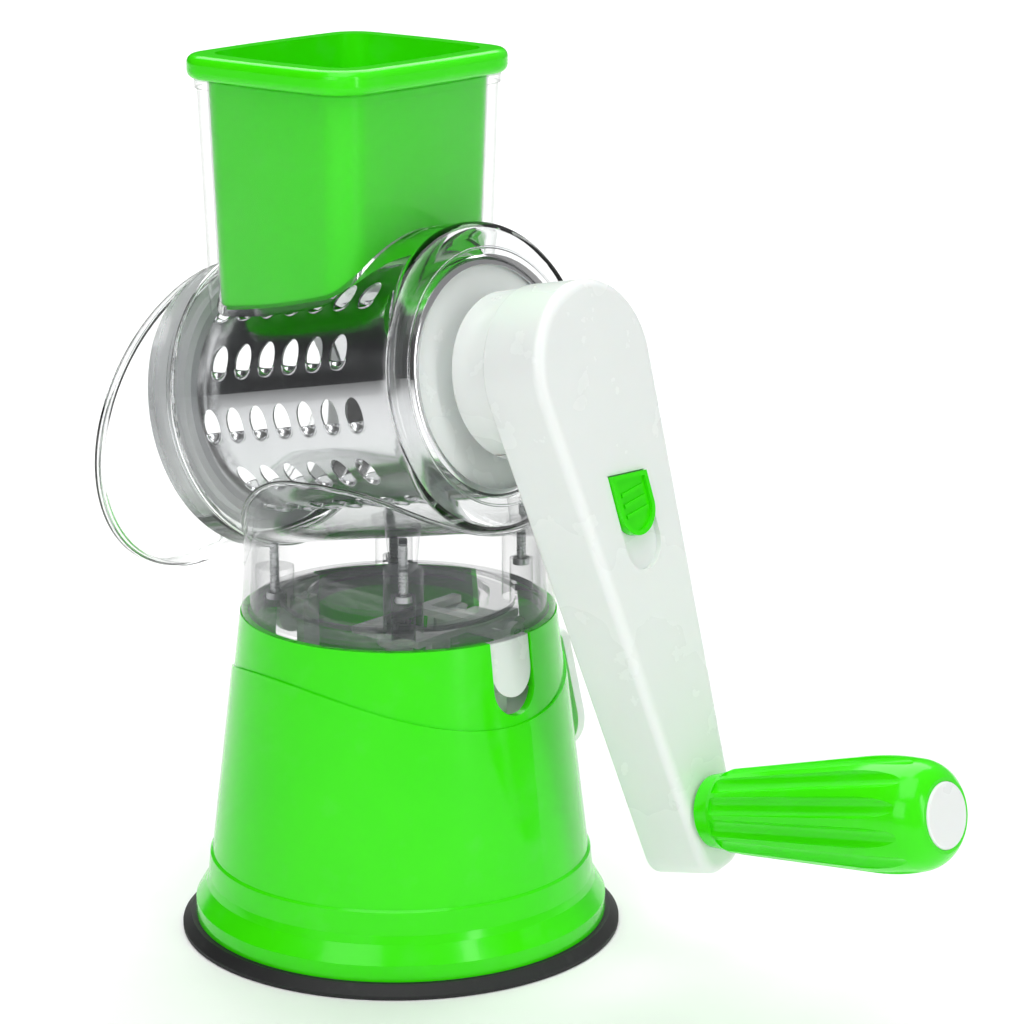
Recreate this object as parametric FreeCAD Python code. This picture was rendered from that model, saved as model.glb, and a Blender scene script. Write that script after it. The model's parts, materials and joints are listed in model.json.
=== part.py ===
# Rotary drum shredder with a suction base, in millimetres.
# Origin: centre of the suction cup's underside, on the table. +Z is up, the crank is on the +X side.
import FreeCAD, Part
import math
import os
from FreeCAD import Placement, Rotation, Vector

# Base
CUP_RADIUS = 62.5
CUP_HEIGHT = 3.6
FLANGE_RADIUS = 58.6
FLANGE_TOP = 9.6
STEP_HEIGHT = 22.5
SHELL_TOP = 92.7
SHELL_TOP_RADIUS = 44.5
SHELL_STEP_RADIUS = 52.9
SHELL_WALL = 2.2
BAND_PROUD = 0.7
WAVE_LOW = 69.0
WAVE_RISE = 13.0
WAVE_TURN = -7.0
NOTCH_TURN = -4.5
NOTCH_HALF_WIDTH = 7.8
NOTCH_BOTTOM = 71.4
TONGUE_FOOT = 76.4

# Suction mechanism inside the base
CARRIER_Z = 60.0
CARRIER_THICK = 3.0
CARRIER_RADIUS = 41.6
CARRIER_SCREW_CIRCLE = 39.6
GUIDE_RADIUS = 8.0
GUIDE_BELOW = 8.0
GUIDE_ABOVE = 4.0
GUIDE_FLANGE = 2.0
FLANGE_THICK = 1.5
EAR_INNER = 13.2
EAR_OUTER = 15.6
EAR_RADIUS = 3.4
STEM_RADIUS = 4.0
STEM_LIFT = 2.5
STEM_FOOT = 5.5
COLLAR_TOP = 32.0
THREAD_RADIUS = 2.0
YOKE_INNER = 9.2
YOKE_OUTER = 12.4
YOKE_THICK = 2.0
LEVER_SWING = 40.0
PIVOT_Y = 33.5
PIVOT_Z = 80.0
CLEARANCE = 0.3
PIVOT_RADIUS = 1.5
CAM_RADIUS = 4.0
PADDLE_TOP = 78.6
PADDLE_BOTTOM = 39.5
PADDLE_TOP_HALF = 20.5
PADDLE_LOW_HALF = 26.5
PADDLE_THICK = 3.0
RUN_FIT = 0.06

# Clear body: waist, barrel and feed chute
WAIST_RADIUS = 44.2
WAIST_SLOPE = 0.052
SHOULDER_START = 118.5
SHOULDER_END = 135.0
SHOULDER_RADIUS = 36.5
CLEAR_WALL = 2.3
BOSS_X = 24.0
BOSS_Y = 25.0
BOSS_SPLIT = {-1: 105.7, 1: 113.5}
PLATE_SEAT = 7.5
DOME_BORE = 23.0
DOME_RADIUS = 25.6
AXIS_HEIGHT = 156.5
TILT = 12.0
BARREL_RADIUS = 42.2
BARREL_BORE = 39.8
BARREL_LEFT = -46.0
COLLAR_FACE = 37.0
COLLAR_ROUND = 4.2
RIM_CENTRE = -73.0
RIM_DROP = 3.2
RIM_RADIUS = 47.5
RIM_LEAN = 23.0
RIM_BEAD = 1.5

# Drum
SLEEVE_RADIUS = 33.0
SLEEVE_WALL = 0.6
SLEEVE_LEFT = -50.0
SLEEVE_RIGHT = 36.5
RING_RADIUS = 37.7
RING_LEFT = -56.5
HUB_FACE = 34.7
HOLE_ROWS = 12
HOLES_PER_ROW = 7
HOLE_PITCH = 9.1
HOLE_LENGTH = 9.8
SCOOP_TURN = 2.4
HOLE_WIDTH = 6.2
FIRST_HOLE = -40.2
ROW_TURN = -3.5
LIP_HEIGHT = 0.9
CURL_RADIUS = 2.6

# Feed chute and pusher
CHUTE_X = -16.75
CHUTE_TOP = 240.7
CHUTE_HALF_X = 30.8
CHUTE_HALF_Y = 34.8
CHUTE_WALL = 2.0
LIP_PROUD = 0.6
LIP_DEPTH = 2.2
DRAFT = 0.027
CORNER_RADIUS = 9.0
SIDE_BULGE = 1.6
PUSHER_TOP = 247.7
RIM_HALF_X = 32.9
RIM_HALF_Y = 37.3
PUSHER_GAP = 0.45
PUSHER_WALL = 2.0
PUSHER_CURVE = 61.0

# Crank
CRANK_SWING = 8.4
BOSS_FACE = 40.5
BOSS_RADIUS = 22.7
ARM_BACK = 52.5
ARM_FRONT = 72.6
ARM_LENGTH = 126.6
ARM_END = 143.6
ARM_HUB_RADIUS = 23.6
ARM_END_HALF = 10.6
ARM_WALL = 2.2
STUB_HALF = 8.0
STUB_WALL = 1.8
STUB_END = 15.0
BUTTON_TOP = 29.6
BUTTON_BOTTOM = 46.6
BUTTON_HALF = 7.2
BUTTON_TRAVEL = 6.0
SLOT_BOTTOM = 56.2
BUTTON_SLANT = 0.2
POCKET_FLOOR = 71.0
LATCH_FRONT = 69.3
LATCH_FOOT = 58.0
SPRING_STOP = 76.0
SPRING_BACK = 3.6

# Handle, along the axis that is parallel to the drum's
GRIP_START = 73.2
GRIP_END = 148.4
GRIP_SMALL = 10.0
GRIP_LARGE = 15.5
FLUTES = 12
CAP_DEPTH = 1.6
SCREW_DEPTH = 12.0
AXLE_RADIUS = 3.0

ORIGIN = Vector(0, 0, 0)
X_DIR = Vector(1, 0, 0)
Y_DIR = Vector(0, 1, 0)
Z_DIR = Vector(0, 0, 1)
DRUM_FRAME = Placement(Vector(0, 0, AXIS_HEIGHT), Rotation(Y_DIR, -TILT))
CRANK_FRAME = DRUM_FRAME.multiply(Placement(ORIGIN, Rotation(X_DIR, CRANK_SWING)))


def put(shape, frame):
    moved = shape.copy()
    moved.transformShape(frame.toMatrix(), True)
    return moved


def clean(shape):
    shape = shape.removeSplitter()
    if len(shape.Solids) == 1:
        return shape.Solids[0]
    return shape


def fuse(*shapes):
    return clean(shapes[0].multiFuse(list(shapes[1:])))


def cut(shape, *tools):
    return clean(shape.cut(list(tools)))


def rod(radius, start, end, at=(0, 0), along="x"):
    """A cylinder along one axis; at gives the other two coordinates in X, Y, Z order."""
    low = min(start, end)
    if along == "x":
        base = Vector(low, at[0], at[1])
        return Part.makeCylinder(radius, abs(end - start), base, X_DIR)
    if along == "y":
        base = Vector(at[0], low, at[1])
        return Part.makeCylinder(radius, abs(end - start), base, Y_DIR)
    base = Vector(at[0], at[1], low)
    return Part.makeCylinder(radius, abs(end - start), base, Z_DIR)


def tube(outer, inner, start, end, at=(0, 0), along="x"):
    return rod(outer, start, end, at, along).cut(rod(inner, start, end, at, along))


def block(low, high):
    size = [high[i] - low[i] for i in range(3)]
    return Part.makeBox(size[0], size[1], size[2], Vector(*low))


def turned(outline, along="z"):
    """A solid of revolution from (radius, height) points about Z, or about X with height as X."""
    if along == "z":
        points = [Vector(r, 0, h) for r, h in outline]
        axis = Z_DIR
    else:
        points = [Vector(h, r, 0) for r, h in outline]
        axis = X_DIR
    face = Part.Face(Part.makePolygon(points + points[:1]))
    return face.revolve(ORIGIN, axis, 360)


def plate(points, start, end):
    """A flat outline of (y, z) points, extruded along X."""
    corners = [Vector(start, y, z) for y, z in points]
    face = Part.Face(Part.makePolygon(corners + corners[:1]))
    return face.extrude(Vector(end - start, 0, 0))


def round_edges(shape, radius, wanted):
    edges = [edge for edge in shape.Edges if wanted(edge)]
    return shape.makeFillet(radius, edges)


def coil(radius, wire, pitch, turns):
    """A round wire wound about Z from the origin, in short straight runs with mitred joints."""
    per_turn = 16
    points = []
    for i in range(per_turn * turns + 1):
        angle = 2 * math.pi * i / per_turn
        points.append(Vector(radius * math.cos(angle), radius * math.sin(angle), pitch * i / per_turn))
    start = Part.Wire(Part.makeCircle(wire, points[0], points[1] - points[0]))
    return Part.makePolygon(points).makePipeShell([start], True, False, 1)


def save(name, shape):
    if not shape.isValid():
        print("not valid:", name)
    solids = shape.Solids
    if len(solids) == 1:
        shape = solids[0]
    shape.exportStep("parts/" + name + ".step")
    box = shape.BoundBox
    reach = "z %6.1f to %6.1f" % (box.ZMin, box.ZMax)
    print("%-18s solids %2d volume %9.1f  %s" % (name, len(solids), shape.Volume, reach))


# Base


def shell_radius(z):
    """Outer radius of the green cone at a height above its lower step."""
    slope = (SHELL_STEP_RADIUS - SHELL_TOP_RADIUS) / (SHELL_TOP - STEP_HEIGHT)
    return SHELL_TOP_RADIUS + slope * (SHELL_TOP - z)


def suction_cup():
    """A flat rubber disc with a thin lip, a locating rib and a boss that holds the stem's foot."""
    outline = [
        (0, 0), (CUP_RADIUS, 0), (CUP_RADIUS, 1.0), (CUP_RADIUS - 2.4, CUP_HEIGHT),
        (55.0, CUP_HEIGHT), (55.0, 8.0), (52.5, 8.0), (51.0, CUP_HEIGHT),
        (16.0, CUP_HEIGHT), (12.0, 5.0), (12.0, 12.0), (0, 12.0),
    ]
    pocket = rod(8.3, 5.2, 8.8, along="z")
    throat = rod(STEM_RADIUS + 0.3, 8.0, 12.0, along="z")
    return cut(turned(outline), pocket, throat)


def wave_tool():
    """A lying cylinder whose lower side crosses the cone in the raised band's wavy upper edge."""
    width = shell_radius(WAVE_LOW)
    radius = (width * width + WAVE_RISE * WAVE_RISE) / (2 * WAVE_RISE)
    lying = rod(radius, -90, 90, (0, WAVE_LOW + radius), "x")
    return put(lying, Placement(ORIGIN, Rotation(Z_DIR, WAVE_TURN)))


def notch_tool(half_width, bottom, near, far):
    """A U-shaped slot, open at the top, that runs out along +X."""
    round_part = rod(half_width, near, far, (0, bottom + half_width), "x")
    upper = block((near, -half_width, bottom + half_width), (far, half_width, SHELL_TOP + 5))
    return round_part.fuse(upper)


def turned_about_z(shape, angle):
    return put(shape, Placement(ORIGIN, Rotation(Z_DIR, angle)))


def base_shell():
    """The green cone: flange, lower step, wavy raised band, inner ledge and three notches."""
    low = STEP_HEIGHT
    outer = turned([
        (0, CUP_HEIGHT), (FLANGE_RADIUS, CUP_HEIGHT), (FLANGE_RADIUS, FLANGE_TOP - 1.4),
        (57.4, FLANGE_TOP + 0.6), (55.6, 13.2), (54.9, 15.5), (54.3, low - 0.6),
        (53.7, low), (shell_radius(low), low), (SHELL_TOP_RADIUS, SHELL_TOP), (0, SHELL_TOP),
    ])
    proud = turned([
        (0, low), (shell_radius(low) + BAND_PROUD, low),
        (shell_radius(WAVE_LOW + 20) + BAND_PROUD, WAVE_LOW + 20), (0, WAVE_LOW + 20),
    ])
    band = proud.cut(wave_tool())
    wall = SHELL_WALL
    ledge = CARRIER_Z
    hollow = turned([
        (0, 0), (55.3, 0), (55.3, 8.4), (52.2, 15.0), (shell_radius(low) - wall, low),
        (shell_radius(ledge - 6) - wall, ledge - 6), (37.5, ledge - 2), (37.5, ledge),
        (shell_radius(ledge) - wall, ledge), (SHELL_TOP_RADIUS - wall, SHELL_TOP), (0, SHELL_TOP + 1),
    ])
    side = notch_tool(NOTCH_HALF_WIDTH, NOTCH_BOTTOM, 36, 60)
    rear = notch_tool(NOTCH_HALF_WIDTH + 0.8, NOTCH_BOTTOM, 36, 60)
    shell = cut(outer.fuse(band), hollow)
    holes = [rod(1.1, ledge - 9, ledge + 1, at, "z") for at in screw_places()]
    bosses = [rod(3.0, ledge - 8, ledge, at, "z") for at in screw_places()]
    shell = fuse(shell, *bosses)
    return cut(
        shell, turned_about_z(side, NOTCH_TURN), turned_about_z(side, 180 + NOTCH_TURN),
        turned_about_z(rear, 90), *holes
    )


def screw_places():
    """The four screws that hold the carrier, on one circle."""
    radius = CARRIER_SCREW_CIRCLE
    angles = [math.radians(45 + 90 * i) for i in range(4)]
    return [(radius * math.cos(a), radius * math.sin(a)) for a in angles]


def cone_core(inset):
    """The solid inside the shell's cone above the carrier, set in by inset."""
    low, high = CARRIER_Z, SHELL_TOP
    wide, narrow = shell_radius(low) - inset, shell_radius(high) - inset
    return turned([(0, low), (wide, low), (narrow, high), (0, high)])


def tongue():
    """The white tab that fills a side notch, with a rounded foot, joined inward to the carrier."""
    half = NOTCH_HALF_WIDTH - 0.35
    middle = TONGUE_FOOT + half
    foot = rod(half, 38, 52, (0, middle), "x")
    upper = block((38, -half, middle), (52, half, SHELL_TOP - 0.4))
    skin = foot.fuse(upper).common(cone_core(0.7)).cut(cone_core(3.0))
    web = block((36.5, -3.0, CARRIER_Z + CARRIER_THICK), (39.5, 3.0, 88))
    arm = block((36.5, -3.0, 84), (42.4, 3.0, 88))
    return fuse(web, arm, skin)


def mechanism_carrier():
    """The white floor inside the cone: pivot ears at the rear and two side tongues."""
    top = CARRIER_Z + CARRIER_THICK
    disc = rod(CARRIER_RADIUS, CARRIER_Z, top, along="z")
    ribs = [block((-37, -1.2, CARRIER_Z - 4), (37, 1.2, CARRIER_Z))]
    ribs.append(block((-1.2, -37, CARRIER_Z - 4), (1.2, 37, CARRIER_Z)))
    ears = []
    for side in (-1, 1):
        low, high = sorted((side * EAR_INNER, side * EAR_OUTER))
        front, back = PIVOT_Y - EAR_RADIUS, PIVOT_Y + EAR_RADIUS
        profile = [(front - 1.6, top), (back + 0.6, top), (back, PIVOT_Z), (front, PIVOT_Z)]
        ears.append(plate(profile, low, high))
        ears.append(rod(EAR_RADIUS, low, high, (PIVOT_Y, PIVOT_Z), "x"))
    tabs = [turned_about_z(tongue(), NOTCH_TURN), turned_about_z(tongue(), 180 + NOTCH_TURN)]
    body = fuse(disc, *(ribs + ears + tabs))
    seat = rod(GUIDE_RADIUS, CARRIER_Z - 12, top + 8, along="z")
    pin = rod(PIVOT_RADIUS, -20, 20, (PIVOT_Y, PIVOT_Z), "x")
    holes = [rod(1.6, CARRIER_Z - 1, top + 1, at, "z") for at in screw_places()]
    return cut(body, seat, pin, *holes)


def stem_guide():
    """The sleeve in the middle of the floor that the stem slides in, with a flange on top."""
    low, top = CARRIER_Z - GUIDE_BELOW, CARRIER_Z + CARRIER_THICK
    bore = STEM_RADIUS + RUN_FIT
    flange = GUIDE_RADIUS + GUIDE_FLANGE
    over, high = top + FLANGE_THICK, top + GUIDE_ABOVE
    return turned([
        (bore, low), (GUIDE_RADIUS, low), (GUIDE_RADIUS, top), (flange, top),
        (flange, over), (GUIDE_RADIUS, over), (GUIDE_RADIUS, high), (bore, high),
    ])


def pan_screw(seat, length, radius=1.5, head=2.8):
    """A screw that hangs down from its seat at height seat."""
    shank = rod(radius, seat - length, seat, along="z")
    cap = rod(head, seat, seat + 1.8, along="z")
    slot = block((-0.4, -head, seat + 1.0), (0.4, head, seat + 2))
    cross = block((-head, -0.4, seat + 1.0), (head, 0.4, seat + 2))
    drive = rod(1.6, seat, seat + 3, along="z")
    return cut(shank.fuse(cap), slot.common(drive), cross.common(drive))


def carrier_screws():
    one = pan_screw(CARRIER_Z + CARRIER_THICK, CARRIER_THICK + 7, 1.05, 1.9)
    screws = [put(one, Placement(Vector(x, y, 0), Rotation())) for x, y in screw_places()]
    return Part.makeCompound(screws)


def cup_stem():
    """A round stem with a foot that sits in the cup's boss and a shoulder for the yoke."""
    shoulder = PIVOT_Z + 2.0
    foot = rod(8.0, STEM_FOOT, STEM_FOOT + 3.0, along="z")
    shaft = rod(STEM_RADIUS, STEM_FOOT, shoulder, along="z")
    collar = rod(7.0, COLLAR_TOP - 2, COLLAR_TOP, along="z")
    thread = rod(THREAD_RADIUS, shoulder, shoulder + 7.0, along="z")
    return fuse(foot, shaft, collar, thread)


def lift_yoke():
    """A flat fork from the stem's top back over the lever's two cams."""
    low = PIVOT_Z + CAM_RADIUS
    high = low + YOKE_THICK
    web = block((-YOKE_OUTER, -6, low), (YOKE_OUTER, 6, high))
    tines = []
    for side in (-1, 1):
        left, right = sorted((side * YOKE_INNER, side * YOKE_OUTER))
        tines.append(block((left, 0, low), (right, PIVOT_Y + 4.2, high)))
    neck = rod(6.0, PIVOT_Z + 2, high, along="z")
    rear = block((-YOKE_OUTER, 20, low), (YOKE_OUTER, 24, high))
    return cut(fuse(web, neck, rear, *tines), rod(THREAD_RADIUS, PIVOT_Z, high + 2, along="z"))


def yoke_nut():
    """A thin hexagon nut that clamps the yoke to the stem's thread."""
    low = PIVOT_Z + CAM_RADIUS + YOKE_THICK
    reach = 3.6
    angles = [math.radians(60 * i) for i in range(7)]
    corners = [Vector(reach * math.cos(a), reach * math.sin(a), low) for a in angles]
    body = Part.Face(Part.makePolygon(corners)).extrude(Vector(0, 0, 2.4))
    return cut(body, rod(THREAD_RADIUS, low - 1, low + 4, along="z"))


def stem_spring():
    """Pushes the stem down: it sits between the stem's collar and the guide."""
    length = CARRIER_Z - GUIDE_BELOW - COLLAR_TOP
    turns = 7
    wire = 0.6
    pitch = (length - 2 * wire - 0.4) / turns
    return put(coil(5.6, wire, pitch, turns), Placement(Vector(0, 0, COLLAR_TOP + wire + 0.2), Rotation()))


def lever_pin():
    return rod(PIVOT_RADIUS, -EAR_OUTER, EAR_OUTER, (PIVOT_Y, PIVOT_Z), "x")


def cam(start, end):
    """A lift cam: its flat follower rises in step with the lever's angle."""
    rise = STEM_LIFT / math.radians(LEVER_SWING)
    points = []
    steps = 16
    for i in range(steps + 1):
        turn = math.radians(LEVER_SWING + 6) * i / steps - math.radians(3)
        reach = CAM_RADIUS - CLEARANCE + rise * turn
        y = reach * math.sin(turn) + rise * math.cos(turn)
        z = reach * math.cos(turn) - rise * math.sin(turn)
        points.append((PIVOT_Y + y, PIVOT_Z + z))
    for across, up in ((2.6, -3.0), (-2.6, -3.0), (-3.6, 1.0)):
        points.append((PIVOT_Y + across, PIVOT_Z + up))
    return plate(points, start, end)


def paddle():
    """The flat white flap outside the cone, wider and rounded towards its lower edge."""
    top, bottom = PADDLE_TOP, PADDLE_BOTTOM
    high, low = [shell_radius(z) + BAND_PROUD + 0.5 for z in (top, bottom)]
    side = [(high, top), (high + PADDLE_THICK, top), (low + PADDLE_THICK, bottom), (low, bottom)]
    slab = plate(side, -30, 30)
    narrow, wide = PADDLE_TOP_HALF, PADDLE_LOW_HALF
    places = ((-narrow, top), (narrow, top), (wide, bottom), (-wide, bottom))
    outline = [Vector(x, 0, z) for x, z in places]
    face = Part.Face(Part.makePolygon(outline + outline[:1]))
    prism = face.extrude(Vector(0, 90, 0))
    low_corner = lambda e: abs(e.BoundBox.YLength - 90) < 1 and e.BoundBox.ZMax < bottom + 1
    prism = round_edges(prism, 13.0, low_corner)
    high_corner = lambda e: abs(e.BoundBox.YLength - 90) < 0.01 and e.BoundBox.ZMin > top - 1
    prism = round_edges(prism, 4.0, high_corner)
    return slab.common(prism)


def suction_lever():
    """Paddle, neck through the rear notch, pivot barrel and two cams."""
    edge = shell_radius(PADDLE_TOP) + BAND_PROUD + PADDLE_THICK
    outline = [
        (PIVOT_Y, PIVOT_Z + 3.0), (PIVOT_Y + 6, PIVOT_Z + 3.0), (edge, 77.6),
        (edge - 1.0, 73.6), (edge - 4.0, 74.8), (PIVOT_Y, PIVOT_Z - 3.0),
    ]
    neck = plate(outline, -5.2, 5.2)
    barrel = rod(3.2, -12.8, 12.8, (PIVOT_Y, PIVOT_Z), "x")
    body = fuse(paddle(), neck, barrel, cam(-12.6, -9.0), cam(9.0, 12.6))
    return cut(body, rod(PIVOT_RADIUS + RUN_FIT, -20, 20, (PIVOT_Y, PIVOT_Z), "x"))


# Clear body


def waist_radius(z):
    return WAIST_RADIUS - WAIST_SLOPE * (z - SHELL_TOP)


def waist_body(inset):
    """Straight taper, then a rounded shoulder that turns in under the barrel."""
    low, turn, high = SHELL_TOP, SHOULDER_START, SHOULDER_END - 0.9 * inset
    points = [
        Vector(waist_radius(low) - inset, 0, low), Vector(waist_radius(turn) - inset, 0, turn),
        Vector(SHOULDER_RADIUS + 4.9 - 0.9 * inset, 0, turn + 9.2 - 0.5 * inset),
        Vector(SHOULDER_RADIUS - 0.6 * inset, 0, high), Vector(0, 0, high + 6), Vector(0, 0, low),
    ]
    edges = [Part.LineSegment(points[0], points[1]).toShape(), Part.Arc(*points[1:4]).toShape()]
    edges += [Part.LineSegment(points[i], points[(i + 1) % 6]).toShape() for i in (3, 4, 5)]
    return Part.Face(Part.Wire(edges)).revolve(ORIGIN, Z_DIR, 360)


def boss_places():
    return [(x, y) for x in (-BOSS_X, BOSS_X) for y in (-BOSS_Y, BOSS_Y)]


def base_plate():
    """Clear floor of the waist with a round dome rib and four counterbored screw tubes."""
    low = SHELL_TOP
    radius = waist_radius(low) - CLEAR_WALL - 0.25
    disc = rod(radius, low, low + 2.0, along="z")
    inside = SHELL_TOP_RADIUS - SHELL_WALL
    spigot = tube(inside - 0.3, inside - 2.0, low - 3.0, low, along="z")
    gap = block((30, -10, low - 4), (60, 10, low))
    clear = [turned_about_z(gap, angle) for angle in (NOTCH_TURN, 180 + NOTCH_TURN, 90)]
    spigot = spigot.cut(clear)
    dome = turned([
        (DOME_RADIUS, low + 2), (DOME_RADIUS, low + 4.6), (DOME_RADIUS - 1.6, low + 5.6),
        (0, low + 6.6), (0, low + 4.6), (DOME_BORE, low + 3.6), (DOME_BORE, low + 2),
    ])
    opening = rod(DOME_BORE, low - 1, low + 3, along="z")
    outer_rib = tube(34.0, 32.8, low + 2, low + 3.6, along="z")
    tubes = []
    bores = []
    for x, y in boss_places():
        top = BOSS_SPLIT[1 if x > 0 else -1]
        tubes.append(rod(5.5, low, top, (x, y), "z"))
        bores.append(rod(3.3, low - 1, top - PLATE_SEAT, (x, y), "z"))
        bores.append(rod(1.35, low - 1, top + 1, (x, y), "z"))
    body = fuse(disc, spigot, outer_rib, *tubes)
    body = cut(body, opening)
    body = fuse(body, dome)
    window = block((26.5, -5, low - 1), (31.0, 5, low + 5))
    windows = [turned_about_z(window, angle) for angle in (200, 250, 310)]
    return cut(body, *(bores + windows))


def plate_screws():
    """Four self-tapping screws, put in from below with their heads in the tubes."""
    screws = []
    for x, y in boss_places():
        seat = BOSS_SPLIT[1 if x > 0 else -1] - PLATE_SEAT
        one = pan_screw(0, 14.0, 1.2, 2.4)
        flip = Placement(Vector(x, y, seat), Rotation(X_DIR, 180))
        screws.append(put(one, flip))
    return Part.makeCompound(screws)


def barrel_solid(radius, left, right):
    return put(rod(radius, left, right), DRUM_FRAME)


def waist_cover():
    """Clear cone that carries the barrel, with four bosses coming down from the saddle."""
    outer = waist_body(0)
    skin = outer.cut(waist_body(CLEAR_WALL))
    bosses = []
    holes = []
    for x, y in boss_places():
        foot = BOSS_SPLIT[1 if x > 0 else -1]
        bosses.append(Part.makeCone(3.9, 7.4, 40, Vector(x, y, foot), Z_DIR).common(outer))
        holes.append(rod(1.25, 90, foot + 8.4, (x, y), "z"))
    body = fuse(skin, *bosses)
    room = [barrel_solid(BARREL_RADIUS, -120, 120), put(shroud_outer(), DRUM_FRAME)]
    body = body.cut(room + holes)
    return clean(max(body.Solids, key=lambda s: s.Volume))


def rim_wire(radius, out=0.0):
    """The outlet's leaning rim circle, moved out of the outlet by out."""
    lean = math.radians(RIM_LEAN)
    normal = Vector(-math.cos(lean), 0, math.sin(lean))
    centre = Vector(RIM_CENTRE, 0, -RIM_DROP) + normal * out
    return Part.Wire(Part.makeCircle(radius, centre, normal))


def throat_wire(radius, x):
    return Part.Wire(Part.makeCircle(radius, Vector(x, 0, 0), Vector(-1, 0, 0)))


def shroud_outer():
    """The outlet shroud's outer form, solid: a ruled loft from the barrel to the leaning rim."""
    return Part.makeLoft([throat_wire(BARREL_RADIUS, BARREL_LEFT), rim_wire(RIM_RADIUS)], True, True)


def flare():
    """The shroud's wall, with a bead inside its lip."""
    mouth = RIM_RADIUS - CLEAR_WALL
    bore = Part.makeLoft([throat_wire(BARREL_BORE, BARREL_LEFT), rim_wire(mouth)], True, True)
    bead = Part.makeLoft([rim_wire(RIM_RADIUS - 0.2, -RIM_BEAD), rim_wire(RIM_RADIUS)], True, True)
    throat = RIM_RADIUS - 3.1
    bead_bore = Part.makeLoft([rim_wire(throat, -RIM_BEAD), rim_wire(throat)], True, True)
    return shroud_outer().cut(bore).fuse(bead.cut(bead_bore))


def chute_hole():
    low = AXIS_HEIGHT
    return tapered(CHUTE_HALF_X - CHUTE_WALL, CHUTE_HALF_Y - CHUTE_WALL, low, CHUTE_TOP + 1, CHUTE_TOP)


def drum_barrel():
    """Clear barrel with the crank-side collar that the sleeve runs in."""
    skin = rod(BARREL_RADIUS, BARREL_LEFT, COLLAR_FACE)
    skin = round_edges(skin, COLLAR_ROUND, lambda e: e.BoundBox.XMin > COLLAR_FACE - 0.1)
    skin = skin.cut(rod(BARREL_BORE, BARREL_LEFT - 1, COLLAR_FACE - 3.5))
    skin = skin.cut(rod(SLEEVE_RADIUS + RUN_FIT, 0, 60))
    return cut(put(skin, DRUM_FRAME), chute_hole())


def outlet_flare():
    """Clear shroud round the outlet, with the land that the drum's ring runs in."""
    back, front = RING_LEFT + 1.0, SLEEVE_LEFT + 1.0
    wide, narrow = BARREL_BORE + 0.4, RING_RADIUS + RUN_FIT
    land = tube(wide + 1.1, narrow, back, front).common(shroud_outer())
    lead = turned([(wide, front), (narrow, front), (wide, front + 2.4)], "x")
    ring_room = rod(narrow, RING_LEFT - CLEARANCE, front)
    body = flare().multiFuse([land, lead]).cut(ring_room)
    return cut(put(body, DRUM_FRAME), chute_hole())


def bulged_wire(half_x, half_y, z, corner, bulge):
    """A closed outline of four shallow side arcs and four tangent corner arcs."""
    big_x = (half_y * half_y + bulge * bulge) / (2 * bulge)
    big_y = (half_x * half_x + bulge * bulge) / (2 * bulge)
    cx = half_x - big_x
    cy = half_y - big_y
    ra, rb = big_x - corner, big_y - corner
    gap = math.hypot(cx, cy)
    # The corner centre lies at ra from (cx, 0) and rb from (0, cy).
    along = (ra * ra - rb * rb + gap * gap) / (2 * gap)
    off = math.sqrt(ra * ra - along * along)
    ux, uy = -cx / gap, cy / gap
    px, py = cx + ux * along - uy * off, uy * along + ux * off
    if px < 0 or py < 0:
        px, py = cx + ux * along + uy * off, uy * along - ux * off
    corners = []
    for sx, sy in ((1, 1), (-1, 1), (-1, -1), (1, -1)):
        centre = Vector(CHUTE_X + sx * px, sy * py, z)
        to_x = Vector(px - cx, py, 0).normalize()
        to_y = Vector(px, py - cy, 0).normalize()
        mid = (to_x + to_y).normalize()
        ends = [centre + Vector(sx * v.x, sy * v.y, 0) * corner for v in (to_x, mid, to_y)]
        if sx * sy < 0:
            ends.reverse()
        corners.append(ends)
    middles = [
        Vector(CHUTE_X, half_y, z), Vector(CHUTE_X - half_x, 0, z),
        Vector(CHUTE_X, -half_y, z), Vector(CHUTE_X + half_x, 0, z),
    ]
    edges = []
    for i in range(4):
        edges.append(Part.Arc(*corners[i]).toShape())
        edges.append(Part.Arc(corners[i][2], middles[i], corners[(i + 1) % 4][0]).toShape())
    return Part.Wire(edges)


def tapered(half_x, half_y, low, high, at, corner=CORNER_RADIUS, bulge=SIDE_BULGE):
    """A bulged-square prism whose stated size is at height at, a little smaller below it."""
    wires = []
    for z in (low, high):
        shrink = (at - z) * DRAFT
        wires.append(bulged_wire(half_x - shrink, half_y - shrink, z, corner, bulge))
    return Part.makeLoft(wires, True, True)


def feed_chute():
    """Clear square chute, open at the top, standing on the barrel."""
    outer = tapered(CHUTE_HALF_X, CHUTE_HALF_Y, AXIS_HEIGHT, CHUTE_TOP, CHUTE_TOP)
    inner = chute_hole()
    grown = (CHUTE_HALF_X + LIP_PROUD, CHUTE_HALF_Y + LIP_PROUD)
    lip = tapered(*grown, CHUTE_TOP - LIP_DEPTH, CHUTE_TOP, CHUTE_TOP, CORNER_RADIUS + LIP_PROUD)
    body = outer.fuse(lip).cut([inner, barrel_solid(BARREL_RADIUS, -120, 120)])
    kept = max(body.Solids, key=lambda s: s.Volume)
    return clean(kept)


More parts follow.
